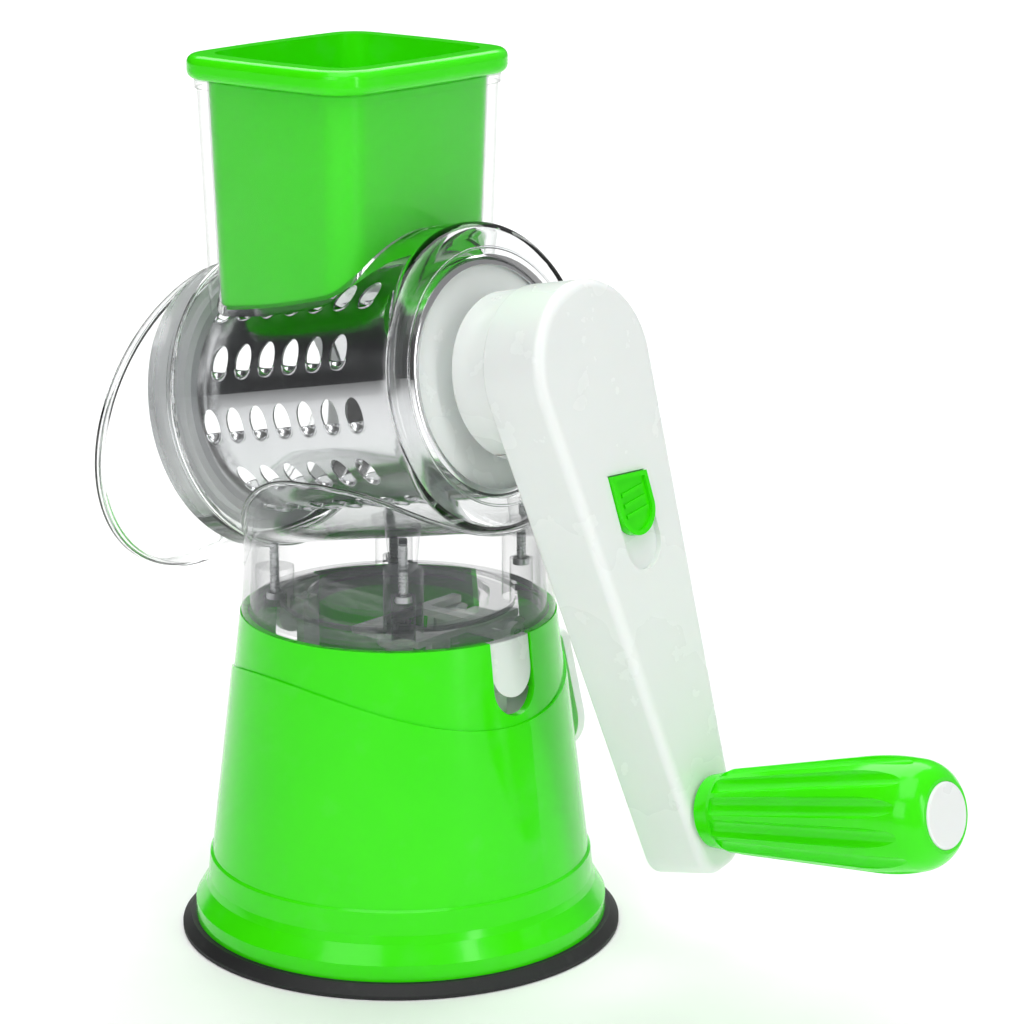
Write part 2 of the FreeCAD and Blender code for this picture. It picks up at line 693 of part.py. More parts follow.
def pusher():
    """Green cup with a rolled rim; its floor is curved along the drum."""
    half_x = CHUTE_HALF_X - CHUTE_WALL - PUSHER_GAP
    half_y = CHUTE_HALF_Y - CHUTE_WALL - PUSHER_GAP
    outer = tapered(half_x, half_y, 150, PUSHER_TOP, CHUTE_TOP, CORNER_RADIUS - 0.4)
    wall = PUSHER_WALL
    drop = PUSHER_CURVE - SLEEVE_RADIUS - LIP_HEIGHT - 1.4
    saddle = put(rod(PUSHER_CURVE, -150, 150, (0, -drop)), DRUM_FRAME)
    saddle_in = put(rod(PUSHER_CURVE + wall, -150, 150, (0, -drop)), DRUM_FRAME)
    inner = tapered(half_x - wall, half_y - wall, 150, PUSHER_TOP + 1, CHUTE_TOP, CORNER_RADIUS - 2.0)
    body = outer.cut(saddle)
    hollow = inner.cut(saddle_in)
    seat = CHUTE_TOP + CLEARANCE
    rim_low = bulged_wire(RIM_HALF_X, RIM_HALF_Y, seat, 11.0, SIDE_BULGE)
    rim = Part.Face(rim_low).extrude(Vector(0, 0, PUSHER_TOP - seat))
    rim = rim.makeFillet(2.4, [e for e in rim.Edges if e.BoundBox.ZLength < 0.01])
    body = max(body.fuse(rim).cut(hollow).Solids, key=lambda s: s.Volume)
    return clean(body)


# Drum


def hole_tool(x, angle):
    """An oval punch, long side round the drum."""
    shape = rod(HOLE_WIDTH / 2, SLEEVE_RADIUS - 4, SLEEVE_RADIUS + 4, (x, 0), "z")
    matrix = FreeCAD.Matrix()
    matrix.scale(1, HOLE_LENGTH / HOLE_WIDTH, 1)
    return put(shape.transformGeometry(matrix), Placement(ORIGIN, Rotation(X_DIR, angle + SCOOP_TURN)))


def sleeve_outline():
    """Half section of the sheet: a straight wall whose crank end curls in round the hub."""
    outer, inner = SLEEVE_RADIUS, SLEEVE_RADIUS - SLEEVE_WALL
    bend = SLEEVE_RIGHT - CURL_RADIUS
    centre = outer - CURL_RADIUS
    slant = math.sqrt(0.5)
    small = CURL_RADIUS - SLEEVE_WALL
    corners = [
        Vector(SLEEVE_LEFT, 0, inner), Vector(SLEEVE_LEFT, 0, outer),
        Vector(bend, 0, outer), Vector(SLEEVE_RIGHT, 0, centre),
        Vector(SLEEVE_RIGHT - SLEEVE_WALL, 0, centre), Vector(bend, 0, inner),
    ]
    outer_mid = Vector(bend + CURL_RADIUS * slant, 0, centre + CURL_RADIUS * slant)
    inner_mid = Vector(bend + small * slant, 0, centre + small * slant)
    line = lambda i, j: Part.LineSegment(corners[i], corners[j]).toShape()
    edges = [
        line(0, 1), line(1, 2), Part.Arc(corners[2], outer_mid, corners[3]).toShape(), line(3, 4),
        Part.Arc(corners[4], inner_mid, corners[5]).toShape(), line(5, 0),
    ]
    return Part.Face(Part.Wire(edges))


def sleeve_strip(row):
    """One row's share of the sleeve: a curved strip with its oval holes."""
    angle = 90 - ROW_TURN + 360.0 * row / HOLE_ROWS
    shift = row % 2
    start = FIRST_HOLE + HOLE_PITCH / 2 * shift
    spots = [start + HOLE_PITCH * i for i in range(HOLES_PER_ROW - shift)]
    share = 360.0 / HOLE_ROWS
    face = put(sleeve_outline(), Placement(ORIGIN, Rotation(X_DIR, angle + SCOOP_TURN - share / 2)))
    strip = face.revolve(ORIGIN, X_DIR, share)
    strip = strip.cut([hole_tool(x, angle) for x in spots])
    return max(strip.Solids, key=lambda s: s.Volume)


def drum_sleeve():
    """Steel grating sleeve, drawn in one strip per row of holes."""
    strips = [sleeve_strip(row) for row in range(HOLE_ROWS)]
    return put(Part.makeCompound(strips), DRUM_FRAME)


def drum_ring():
    """Frosted running ring at the outlet end; the sleeve seats in its rebate."""
    inner = SLEEVE_RADIUS - SLEEVE_WALL - 0.6
    outline = [
        (inner, RING_LEFT), (RING_RADIUS - 0.8, RING_LEFT), (RING_RADIUS, RING_LEFT + 0.8),
        (RING_RADIUS, SLEEVE_LEFT + 0.4), (35.4, SLEEVE_LEFT + 0.4), (35.4, SLEEVE_LEFT + 3.4),
        (SLEEVE_RADIUS, SLEEVE_LEFT + 3.4), (SLEEVE_RADIUS, SLEEVE_LEFT), (inner, SLEEVE_LEFT),
    ]
    return put(clean(turned(outline, "x")), DRUM_FRAME)


def drum_hub():
    """White end disc with a skirt inside the sleeve and a square socket for the drive stub."""
    fit = SLEEVE_RADIUS - SLEEVE_WALL
    disc = rod(fit, HUB_FACE - 3.0, HUB_FACE)
    disc = round_edges(disc, 1.9, lambda e: e.BoundBox.XMin > HUB_FACE - 0.1)
    skirt = tube(fit, fit - 2.0, HUB_FACE - 9.0, HUB_FACE - 3.0)
    boss = rod(15.0, 12.0, HUB_FACE - 3.0)
    rib = block((20.0, -1.0, 13.0), (HUB_FACE - 3.0, 1.0, fit - 1.0))
    ribs = [put(rib, Placement(ORIGIN, Rotation(X_DIR, 60 * i))) for i in range(6)]
    body = fuse(disc, skirt, boss, *ribs)
    half = STUB_HALF + 0.08
    socket = block((10, -half, -half), (HUB_FACE + 1, half, half))
    groove = block((19.2, -3.4, half - 1), (24.8, 3.4, half + 2.2))
    body = cut(body, socket)
    body = put(body, Placement(ORIGIN, Rotation(X_DIR, CRANK_SWING)))
    body = cut(body, put(groove, Placement(ORIGIN, Rotation(X_DIR, CRANK_SWING))))
    return put(body, DRUM_FRAME)


# Crank, modelled in its own frame: X along the drum's axis, the arm pointing down -Z


def arm_outline(inset, x):
    """Tangent outline of the arm: hub circle, straight tapering sides, round-cornered end."""
    hub = ARM_HUB_RADIUS - inset
    end = ARM_END_HALF - inset
    taper = math.asin((ARM_HUB_RADIUS - ARM_END_HALF) / ARM_LENGTH)
    low = -(ARM_END - inset)
    sy, sz = hub * math.cos(taper), -hub * math.sin(taper)
    ey = end * math.cos(taper) - (ARM_END - ARM_LENGTH) * math.tan(taper)
    points = [Vector(x, sy, sz), Vector(x, 0, hub), Vector(x, -sy, sz)]
    arc = Part.Arc(*points).toShape()
    corners = [Vector(x, -sy, sz), Vector(x, -ey, low), Vector(x, ey, low), Vector(x, sy, sz)]
    lines = [Part.LineSegment(corners[i], corners[i + 1]).toShape() for i in range(3)]
    return Part.Face(Part.Wire([arc] + lines))


def arm_block(inset, start, end):
    body = arm_outline(inset, start).extrude(Vector(end - start, 0, 0))
    low = -(ARM_END - inset)
    corners = lambda e: abs(e.BoundBox.XLength - (end - start)) < 0.01 and e.BoundBox.ZMax < low + 2
    return round_edges(body, max(7.5 - inset, 2.0), corners)


def crank_shell():
    """The arm's front shell, open at the back, with the button's slot and the handle's seat."""
    split = ARM_BACK + 2.0
    body = arm_block(0, split, ARM_FRONT)
    body = round_edges(body, 2.8, lambda e: e.BoundBox.XMin > ARM_FRONT - 0.01)
    body = body.cut(arm_block(ARM_WALL, split - 1, ARM_FRONT - ARM_WALL))
    post = rod(6.0, split, ARM_FRONT - 1.0, (0, -ARM_LENGTH))
    pegs = [rod(3.0, split, ARM_FRONT - 1.0, at) for at in cover_screw_places()]
    stop = block((split + 3, -5, -SPRING_STOP - 2), (ARM_FRONT - 1, 5, -SPRING_STOP))
    body = fuse(body, post, stop, *pegs)
    body = fuse(body, slot_outline(-2.0, POCKET_FLOOR - 1.2).extrude(Vector(2.0, 0, 0)))
    pocket = slot_outline(0, POCKET_FLOOR).extrude(Vector(9, 0, 0))
    gap = CLEARANCE + 0.05
    high, low = -BUTTON_TOP - 6.0 + gap, -BUTTON_BOTTOM + 8.0 - BUTTON_TRAVEL - gap
    slot = block((POCKET_FLOOR - 2, -3.5 - gap, low), (POCKET_FLOOR + 1, 3.5 + gap, high))
    slot = slot.fuse(pocket)
    holes = [rod(1.15, split - 1, split + 10, at) for at in cover_screw_places()]
    axle = rod(AXLE_RADIUS, split - 1, ARM_FRONT + 1, (0, -ARM_LENGTH))
    head = rod(5.1, split - 1, ARM_BACK + 4.0, (0, -ARM_LENGTH))
    return cut(body, slot, axle, head, *holes)


def slot_outline(inset, x):
    """Outline of the button's pocket: slanted top like the button's, round foot."""
    half = BUTTON_HALF + CLEARANCE - inset
    foot = -(SLOT_BOTTOM - half - inset)
    high = CLEARANCE - inset
    left, right = button_corners(half)
    points = [
        Vector(x, -half, foot), Vector(x, -half, left + high),
        Vector(x, half, right + high), Vector(x, half, foot),
    ]
    edges = [Part.LineSegment(points[i], points[i + 1]).toShape() for i in range(3)]
    edges.append(Part.Arc(points[3], Vector(x, 0, foot - half), points[0]).toShape())
    return Part.Face(Part.Wire(edges))


def button_corners(half):
    """Heights of the button's slanted top edge at its two sides."""
    return -BUTTON_TOP + BUTTON_SLANT * half, -BUTTON_TOP - BUTTON_SLANT * half


def cover_screw_places():
    return [(0, 17.0), (0, -98.0), (-8.5, -14.7), (8.5, -14.7)]


def crank_cover():
    """Back plate of the arm with the round boss that carries the drive stub."""
    back = arm_block(0, ARM_BACK, ARM_BACK + 2.0)
    back = round_edges(back, 1.0, lambda e: e.BoundBox.XMax < ARM_BACK + 0.01)
    boss = rod(BOSS_RADIUS, BOSS_FACE, ARM_BACK)
    boss = round_edges(boss, 1.2, lambda e: e.BoundBox.XMax < BOSS_FACE + 0.01)
    body = fuse(back, boss)
    hollow = rod(BOSS_RADIUS - 2.4, BOSS_FACE + 3.0, ARM_BACK + 3)
    half = STUB_HALF + 0.02
    square = block((BOSS_FACE - 1, -half, -half), (ARM_BACK + 3, half, half))
    body = body.cut([hollow, square])
    places = [at for at in cover_screw_places() if at[1] > -30]
    face = ARM_BACK - 0.4
    pillars = [rod(4.2, BOSS_FACE + 1, ARM_BACK + 2.0, at) for at in places]
    body = body.multiFuse(pillars)
    bores = [rod(3.1, BOSS_FACE - 1, face, at) for at in places]
    holes = [rod(1.5, BOSS_FACE - 1, ARM_BACK + 3, at) for at in cover_screw_places()]
    seam = block((BOSS_FACE - 1, -BOSS_RADIUS, -18.4), (ARM_BACK - 1.5, -12.5, -17.8))
    return cut(body, seam, *(bores + holes))


def cover_screws():
    """Four screws from the back: three inside the boss and one low on the arm."""
    screws = []
    for y, z in cover_screw_places():
        seat = ARM_BACK - 0.4 if z > -30 else ARM_BACK
        one = pan_screw(0, 10.0, 1.1, 2.6)
        face_back = Placement(Vector(seat, y, z), Rotation(Y_DIR, -90))
        screws.append(put(one, face_back))
    return Part.makeCompound(screws)


def drive_shaft():
    """Hollow square stub with a flange inside the boss and a window for the latch's nose."""
    half = STUB_HALF
    body = block((STUB_END, -half, -half), (BOSS_FACE + 3.0, half, half))
    body = round_edges(body, 1.2, lambda e: e.BoundBox.XLength > 20)
    flange = rod(12.0, BOSS_FACE + 3.0, BOSS_FACE + 6.0)
    inner = half - STUB_WALL
    hollow = block((STUB_END + 2, -inner, -inner), (BOSS_FACE + 10, inner, inner))
    window = block((18.4, -3.2, inner - 1), (25.4, 3.2, half + 1))
    return cut(fuse(body, flange), hollow, window)


def button_outline(inset, x):
    half = BUTTON_HALF - inset
    low = -(BUTTON_BOTTOM - inset)
    left, right = button_corners(half)
    radius = half * 0.92
    points = [
        Vector(x, -half, left - inset), Vector(x, half, right - inset), Vector(x, half, low + radius),
        Vector(x, -half, low + radius),
    ]
    edges = [Part.LineSegment(points[i], points[i + 1]).toShape() for i in (0, 1)]
    edges.append(Part.Arc(points[2], Vector(x, 0, low), points[3]).toShape())
    edges.append(Part.LineSegment(points[3], points[0]).toShape())
    return Part.Face(Part.Wire(edges))


def release_button():
    """Green slide button: raised border, sunk face with three grip ridges, stem into the arm."""
    back = POCKET_FLOOR + CLEARANCE
    body = button_outline(0, back).extrude(Vector(ARM_FRONT + 1.2 - back, 0, 0))
    sunk = button_outline(1.3, ARM_FRONT + 0.3).extrude(Vector(3, 0, 0))
    body = body.cut(sunk)
    ridges = []
    for down in (34.4, 37.4, 40.4):
        ridges.append(block((ARM_FRONT, -4.6, -down - 0.5), (ARM_FRONT + 0.9, 4.6, -down + 0.5)))
    stem = block((LATCH_FRONT, -3.5, -BUTTON_BOTTOM + 8), (back, 3.5, -BUTTON_TOP - 6))
    return fuse(body, stem, *ridges)


def latch_hook():
    """White latch: strip behind the button, and a finger that runs down the stub to its nose."""
    back = LATCH_FRONT
    strip = block((back - 2.4, -3.2, -LATCH_FOOT), (back, 3.2, 5.4))
    finger = block((20.0, -2.6, 2.0), (back, 2.6, 5.4))
    nose = plate([(-2.4, 4.0), (2.4, 4.0), (2.4, STUB_HALF + 1.2), (-2.4, STUB_HALF + 1.2)], 20.0, 24.0)
    nose = round_edges(nose, 0.8, lambda e: e.BoundBox.ZMin > STUB_HALF + 1.1 and e.BoundBox.YLength > 4)
    foot = block((back - 6.0, -3.2, -LATCH_FOOT), (back, 3.2, 2.0 - LATCH_FOOT))
    peg = rod(1.6, -LATCH_FOOT - 5.0, -LATCH_FOOT, (back - SPRING_BACK, 0), "z")
    return fuse(strip, finger, nose, foot, peg)


def latch_spring():
    """Pushes the latch and its button back up the arm."""
    wire = 0.35
    turns = 8
    length = SPRING_STOP - LATCH_FOOT - 2 * wire - 0.4
    spring = coil(2.3, wire, length / turns, turns)
    foot = Vector(LATCH_FRONT - SPRING_BACK, 0, wire + 0.2 - SPRING_STOP)
    return put(spring, Placement(foot, Rotation()))


# Handle


def handle_axle():
    """Steel axle: head inside the arm, plain journal, and a tapped end for the screw."""
    head = rod(5.0, ARM_BACK + 2.1, ARM_BACK + 4.0)
    seat = GRIP_END - SCREW_DEPTH
    shank = rod(AXLE_RADIUS, ARM_BACK + 4.0, seat)
    tapped = rod(1.6, seat - 12.0, seat + 1.0)
    return cut(fuse(head, shank), tapped)


def handle_screw():
    """The slotted screw and washer that keep the grip on its axle."""
    seat = GRIP_END - SCREW_DEPTH
    shank = rod(1.6, seat - 12.0, seat)
    washer = rod(6.0, seat, seat + 1.0)
    head = rod(4.0, seat + 1.0, seat + 3.2)
    slot = block((seat + 2.2, -0.5, -2.6), (seat + 4.0, 0.5, 2.6))
    return cut(fuse(shank, washer, head), slot)


def grip_outline():
    """Edges of the grip's half section, from its small end to its rounded large end."""
    corners = [
        (GRIP_START, 0), (GRIP_START, GRIP_SMALL - 0.6), (GRIP_START + 0.6, GRIP_SMALL),
        (GRIP_START + 5.0, GRIP_SMALL + 0.6), (GRIP_START + 8.0, 11.6), (124.0, 15.2),
    ]
    points = [Vector(x, r, 0) for x, r in corners]
    edges = [Part.LineSegment(points[i], points[i + 1]).toShape() for i in range(len(points) - 1)]
    large = [Vector(124.0, 15.2, 0), Vector(133.0, GRIP_LARGE, 0), Vector(141.0, 14.7, 0)]
    edges.append(Part.Arc(*large).toShape())
    nose = [Vector(141.0, 14.7, 0), Vector(145.6, 12.9, 0), Vector(GRIP_END, 9.9, 0)]
    edges.append(Part.Arc(*nose).toShape())
    edges.append(Part.LineSegment(Vector(GRIP_END, 9.9, 0), Vector(GRIP_END, 0, 0)).toShape())
    edges.append(Part.LineSegment(Vector(GRIP_END, 0, 0), Vector(GRIP_START, 0, 0)).toShape())
    return Part.Face(Part.Wire(edges))


def flute(angle):
    """A groove tool that follows the grip's taper and runs out near its large end."""
    start = Vector(GRIP_START + 6.0, 11.1 + 2.3, 0)
    end = Vector(143.5, 15.6 + 2.3, 0)
    along = end - start
    groove = Part.makeCylinder(3.3, along.Length, start, along)
    tip = Part.makeSphere(3.3, end)
    return put(groove.fuse(tip), Placement(ORIGIN, Rotation(X_DIR, angle)))


def handle_grip():
    """Green fluted grip that spins on the axle; its end holds the cap."""
    body = grip_outline().revolve(ORIGIN, X_DIR, 360)
    body = body.cut([flute(360.0 * i / FLUTES) for i in range(FLUTES)])
    bore = rod(AXLE_RADIUS + RUN_FIT, GRIP_START - 1, GRIP_END)
    counterbore = rod(6.6, GRIP_END - SCREW_DEPTH - CLEARANCE, GRIP_END + 1)
    seat = rod(8.9, GRIP_END - CAP_DEPTH, GRIP_END + 1)
    return cut(body, bore, counterbore, seat)


def handle_cap():
    """White snap-in cap with a low dome."""
    disc = rod(8.8, GRIP_END - CAP_DEPTH, GRIP_END + 0.6)
    disc = round_edges(disc, 0.7, lambda e: e.BoundBox.XMin > GRIP_END + 0.5)
    collar = tube(6.5, 5.0, GRIP_END - 6.0, GRIP_END - CAP_DEPTH)
    return fuse(disc, collar)


def at_handle(shape):
    lowered = put(shape, Placement(Vector(0, 0, -ARM_LENGTH), Rotation()))
    return put(lowered, CRANK_FRAME)


def write_base():
    save("suction_cup", suction_cup())
    save("base_shell", base_shell())
    save("mechanism_carrier", mechanism_carrier())
    save("stem_guide", stem_guide())
    save("carrier_screws", carrier_screws())
    save("cup_stem", cup_stem())
    save("lift_yoke", lift_yoke())
    save("yoke_nut", yoke_nut())
    save("stem_spring", stem_spring())
    save("lever_pin", lever_pin())
    save("suction_lever", suction_lever())


def write_clear_body():
    save("base_plate", base_plate())
    save("plate_screws", plate_screws())
    save("waist_cover", waist_cover())
    save("drum_barrel", drum_barrel())
    save("outlet_flare", outlet_flare())
    save("feed_chute", feed_chute())
    save("pusher", pusher())


def write_drum():
    save("drum_sleeve", drum_sleeve())
    save("drum_ring", drum_ring())
    save("drum_hub", drum_hub())


def write_crank():
    save("crank_shell", put(crank_shell(), CRANK_FRAME))
    save("crank_cover", put(crank_cover(), CRANK_FRAME))
    save("cover_screws", put(cover_screws(), CRANK_FRAME))
    save("drive_shaft", put(drive_shaft(), CRANK_FRAME))
    save("release_button", put(release_button(), CRANK_FRAME))
    save("latch_hook", put(latch_hook(), CRANK_FRAME))
    save("latch_spring", put(latch_spring(), CRANK_FRAME))
    save("handle_axle", at_handle(handle_axle()))
    save("handle_screw", at_handle(handle_screw()))
    save("handle_grip", at_handle(handle_grip()))
    save("handle_cap", at_handle(handle_cap()))


os.makedirs("parts", exist_ok=True)
write_base()
write_clear_body()
write_drum()
write_crank()
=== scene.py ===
import json
import math

import bmesh
import bpy
from mathutils import Matrix, Vector


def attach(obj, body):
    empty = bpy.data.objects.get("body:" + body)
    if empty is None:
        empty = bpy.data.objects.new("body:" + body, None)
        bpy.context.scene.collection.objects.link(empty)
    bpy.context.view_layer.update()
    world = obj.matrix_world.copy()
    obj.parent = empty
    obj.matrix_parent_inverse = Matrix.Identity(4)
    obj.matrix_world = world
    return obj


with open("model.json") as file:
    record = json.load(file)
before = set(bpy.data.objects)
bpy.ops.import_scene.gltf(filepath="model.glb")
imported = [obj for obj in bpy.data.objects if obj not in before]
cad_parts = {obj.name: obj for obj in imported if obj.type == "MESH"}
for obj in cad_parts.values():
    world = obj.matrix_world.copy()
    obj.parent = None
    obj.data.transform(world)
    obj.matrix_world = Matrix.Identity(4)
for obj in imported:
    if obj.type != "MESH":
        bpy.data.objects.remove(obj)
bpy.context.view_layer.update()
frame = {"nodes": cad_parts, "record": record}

# %% [markdown]
# ## A small language for materials
# Every finish here is a network of shader nodes. Writing each node and link by hand is long, so
# a thin wrapper round a socket lets sums and products of sockets be written as arithmetic.
# %% Socket wrapper


class Sock:
    """One output socket that can be added, scaled and mixed."""

    def __init__(self, tree, socket):
        self.tree = tree
        self.socket = socket

    def node(self, kind, out=0, settings=None, **inputs):
        """Adds a node to the same tree, fills its inputs and returns one of its outputs."""
        made = self.tree.nodes.new(kind)
        for name, value in (settings or {}).items():
            setattr(made, name, value)
        for name, value in inputs.items():
            key = int(name[1:]) if name[0] == "i" and name[1:].isdigit() else name.replace("_", " ")
            if isinstance(value, Sock):
                self.tree.links.new(value.socket, made.inputs[key])
            else:
                made.inputs[key].default_value = value
        return Sock(self.tree, made.outputs[out])

    def math(self, operation, other):
        return self.node("ShaderNodeMath", settings={"operation": operation}, i0=self, i1=other)

    def __add__(self, other):
        return self.math("ADD", other)

    def __mul__(self, other):
        return self.math("MULTIPLY", other)

    __radd__ = __add__
    __rmul__ = __mul__

    def ramp(self, low, high, to_low=0.0, to_high=1.0):
        """Maps low..high onto to_low..to_high, held at both ends."""
        return self.node(
            "ShaderNodeMapRange", i0=self, i1=low, i2=high, i3=to_low, i4=to_high
        )

    def mix(self, first, second):
        """A colour between two others, with this socket as the factor."""
        return self.node(
            "ShaderNodeMix", out=2, settings={"data_type": "RGBA"}, i0=self, i6=first, i7=second
        )


def rgba(red, green, blue):
    return (red, green, blue, 1.0)


# %% [markdown]
# ## Finishes
# Moulded plastic is never one flat colour: the pigment drifts a little, the skin has a fine
# orange-peel ripple, and handling leaves duller patches. All finishes share this recipe and
# differ in their numbers, so one function builds them.
# %% Finish builder
CLOUD_SCALE = 22.0
SCUFF_SHARE = 0.12
RIPPLE_DEPTH = 0.0002
WORN_COLOUR = rgba(0.6, 0.62, 0.6)
WORN_MIX = 0.02
WORN_DULL = 0.3


def finish(name, dark, light, rough, grain, bump, **fixed):
    """A surface whose colour and roughness drift over the object, with a fine ripple."""
    material = bpy.data.materials.new(name)
    material.use_nodes = True
    tree = material.node_tree
    shader = tree.nodes["Principled BSDF"]
    for key, value in fixed.items():
        shader.inputs[key.replace("_", " ")].default_value = value
    coords = Sock(tree, tree.nodes.new("ShaderNodeTexCoord").outputs["Object"])
    clouds = coords.node("ShaderNodeTexNoise", Vector=coords, Scale=CLOUD_SCALE, Detail=3.0)
    fine = coords.node("ShaderNodeTexNoise", Vector=coords, Scale=grain, Detail=4.0)
    scuffs = coords.node("ShaderNodeTexNoise", Vector=coords, Scale=grain * SCUFF_SHARE, Detail=8.0)
    worn = scuffs.ramp(0.56, 0.74)
    colour = clouds.ramp(0.3, 0.7).mix(dark, light)
    colour = (worn * WORN_MIX).mix(colour, WORN_COLOUR)
    spread = rough[1] - rough[0]
    dull = clouds.ramp(0.25, 0.75) * spread + rough[0]
    dull = dull + worn * (spread * WORN_DULL)
    height = fine + scuffs * 0.1
    ripple = fine.node("ShaderNodeBump", Height=height, Strength=bump, Distance=RIPPLE_DEPTH)
    tree.links.new(colour.socket, shader.inputs["Base Color"])
    tree.links.new(dull.socket, shader.inputs["Roughness"])
    tree.links.new(ripple.socket, shader.inputs["Normal"])
    return material


green = finish(
    "lime_plastic", rgba(0.038, 0.745, 0.001), rgba(0.046, 0.790, 0.002), (0.14, 0.20), 900.0, 0.02,
    IOR=1.46, Specular_IOR_Level=0.28, Coat_Weight=0.08, Coat_Roughness=0.05,
)
white = finish(
    "white_plastic", rgba(0.79, 0.825, 0.805), rgba(0.81, 0.845, 0.825), (0.22, 0.32), 1100.0, 0.025,
    IOR=1.49, Subsurface_Weight=0.06, Subsurface_Scale=0.002,
)
frosted = finish(
    "frosted_plastic", rgba(0.82, 0.84, 0.85), rgba(0.86, 0.875, 0.88), (0.42, 0.55), 1400.0, 0.1,
    IOR=1.45, Transmission_Weight=0.12,
)
clear = finish(
    "clear_plastic", rgba(0.955, 0.965, 0.965), rgba(0.975, 0.98, 0.98), (0.01, 0.04), 260.0, 0.02,
    IOR=1.36, Transmission_Weight=1.0,
)
steel = finish(
    "drum_sheet", rgba(0.66, 0.665, 0.68), rgba(0.72, 0.725, 0.735), (0.13, 0.19), 700.0, 0.03,
    Metallic=1.0,
)
plated = finish(
    "plated_steel", rgba(0.46, 0.47, 0.48), rgba(0.56, 0.57, 0.58), (0.2, 0.34), 1500.0, 0.1,
    Metallic=1.0,
)
rubber = finish(
    "cup_rubber", rgba(0.008, 0.008, 0.009), rgba(0.016, 0.016, 0.017), (0.5, 0.68), 1600.0, 0.25,
    IOR=1.45,
)
print("finishes", len(bpy.data.materials))

# %% [markdown]
# ## Thin clear walls
# The chute, the waist and its floor are thin, so looking through them bends next to nothing. What
# shows is a grey edge where a wall is seen along its length. Letting the surface fade with the
# angle gives that edge, and unlike a refracting block it lets the light reach what is inside.
# %% Thin clear plastic


def thin_wall(name, haze, strength):
    """A clear sheet: nearly open face on, greyer where it is seen edge on."""
    material = finish(
        name, rgba(0.32, 0.34, 0.35), rgba(0.38, 0.40, 0.41), (0.02, 0.05), 260.0, 0.02,
        IOR=1.46, Coat_Weight=1.0, Coat_Roughness=0.03,
    )
    tree = material.node_tree
    facing = Sock(tree, tree.nodes.new("ShaderNodeLayerWeight").outputs["Facing"])
    alpha = facing * facing * facing * strength + haze
    tree.links.new(alpha.socket, tree.nodes["Principled BSDF"].inputs["Alpha"])
    return material


thin_clear = thin_wall("thin_clear_plastic", 0.02, 0.85)
waist_clear = thin_wall("waist_clear_plastic", 0.04, 0.70)
print("thin clear", [thin_clear.name, waist_clear.name])

# %% [markdown]
# ## Finishes on the solids
# Each solid says in its record which material it is made of, so one table is enough. Only the
# thin clear walls depart from it.
# %% Give each node its finish
by_slot = {
    "green_plastic": green, "white_plastic": white, "frosted_plastic": frosted,
    "clear_plastic": clear, "drum_steel": steel, "screw_steel": plated, "cup_rubber": rubber,
}
thin = {"feed_chute": thin_clear, "waist_cover": waist_clear, "base_plate": waist_clear}
slot_of = {part["node"]: part["material_slot"] for part in frame["record"]["subparts"]}
for name, node in frame["nodes"].items():
    node.data.materials.clear()
    node.data.materials.append(thin.get(name) or by_slot[slot_of[name]])
print("finished", len(slot_of), "nodes")

# %% [markdown]
# ## Moulded beads on the clear housing
# Where two clear walls meet, the mould leaves a rounded bead, and the bead is what the eye reads
# as a bright double line. Each bead is a torus whose rings are moved onto a closed path in edit
# mode, which keeps a clean ring of quads all the way round.
# %% Drum axis and helpers
TILT = math.radians(12.0)
AXIS_POINT = Vector((0.0, 0.0, 0.1565))
AXIS = Vector((math.cos(TILT), 0.0, math.sin(TILT)))
SIDE = Vector((0.0, 1.0, 0.0))
UP = AXIS.cross(SIDE)
BARREL = 0.0422


def on_axis(s, across=0.0, up=0.0):
    """A point given along, across and above the drum's axis."""
    return AXIS_POINT + AXIS * s + SIDE * across + UP * up


def deselect():
    bpy.ops.object.select_all(action="DESELECT")


def bead(name, path, outward, radius, material, body, sides=10):
    """A round bead along a closed path of points; outward gives a direction off the surface."""
    deselect()
    bpy.ops.mesh.primitive_torus_add(
        major_segments=len(path), minor_segments=sides, major_radius=1.0, minor_radius=0.1
    )
    piece = bpy.context.object
    piece.name = name
    bpy.ops.object.mode_set(mode="EDIT")
    cage = bmesh.from_edit_mesh(piece.data)
    cage.verts.ensure_lookup_table()
    count = len(path)
    for i in range(count):
        along = (path[(i + 1) % count] - path[i - 1]).normalized()
        off = (outward[i] - along * outward[i].dot(along)).normalized()
        other = along.cross(off)
        for j in range(sides):
            angle = 2 * math.pi * j / sides
            place = path[i] + (off * math.cos(angle) + other * math.sin(angle)) * radius
            cage.verts[i * sides + j].co = place
    bmesh.update_edit_mesh(piece.data)
    bpy.ops.mesh.select_all(action="SELECT")
    bpy.ops.mesh.normals_make_consistent(inside=False)
    bpy.ops.object.mode_set(mode="OBJECT")
    bpy.ops.object.shade_smooth()
    piece.data.materials.append(material)
    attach(piece, body)


# %% Saddle bead where the waist meets the barrel
WAIST_FOOT = 0.0927
WAIST_RADIUS = 0.0442
WAIST_SLOPE = 0.052
SHOULDER_FOOT = 0.1185
SHOULDER_HEIGHT = 0.0165
SHOULDER_RADIUS = 0.04286
SHOULDER_DROP = 0.00636
HALVINGS = 40
BEAD_STEPS = 120


def waist_radius(z):
    """Outer radius of the waist, with its rounded shoulder."""
    if z < SHOULDER_FOOT:
        return WAIST_RADIUS - WAIST_SLOPE * (z - WAIST_FOOT)
    share = min(1.0, (z - SHOULDER_FOOT) / SHOULDER_HEIGHT)
    return SHOULDER_RADIUS - SHOULDER_DROP * (1.0 - math.sqrt(max(0.0, 1.0 - share * share)))


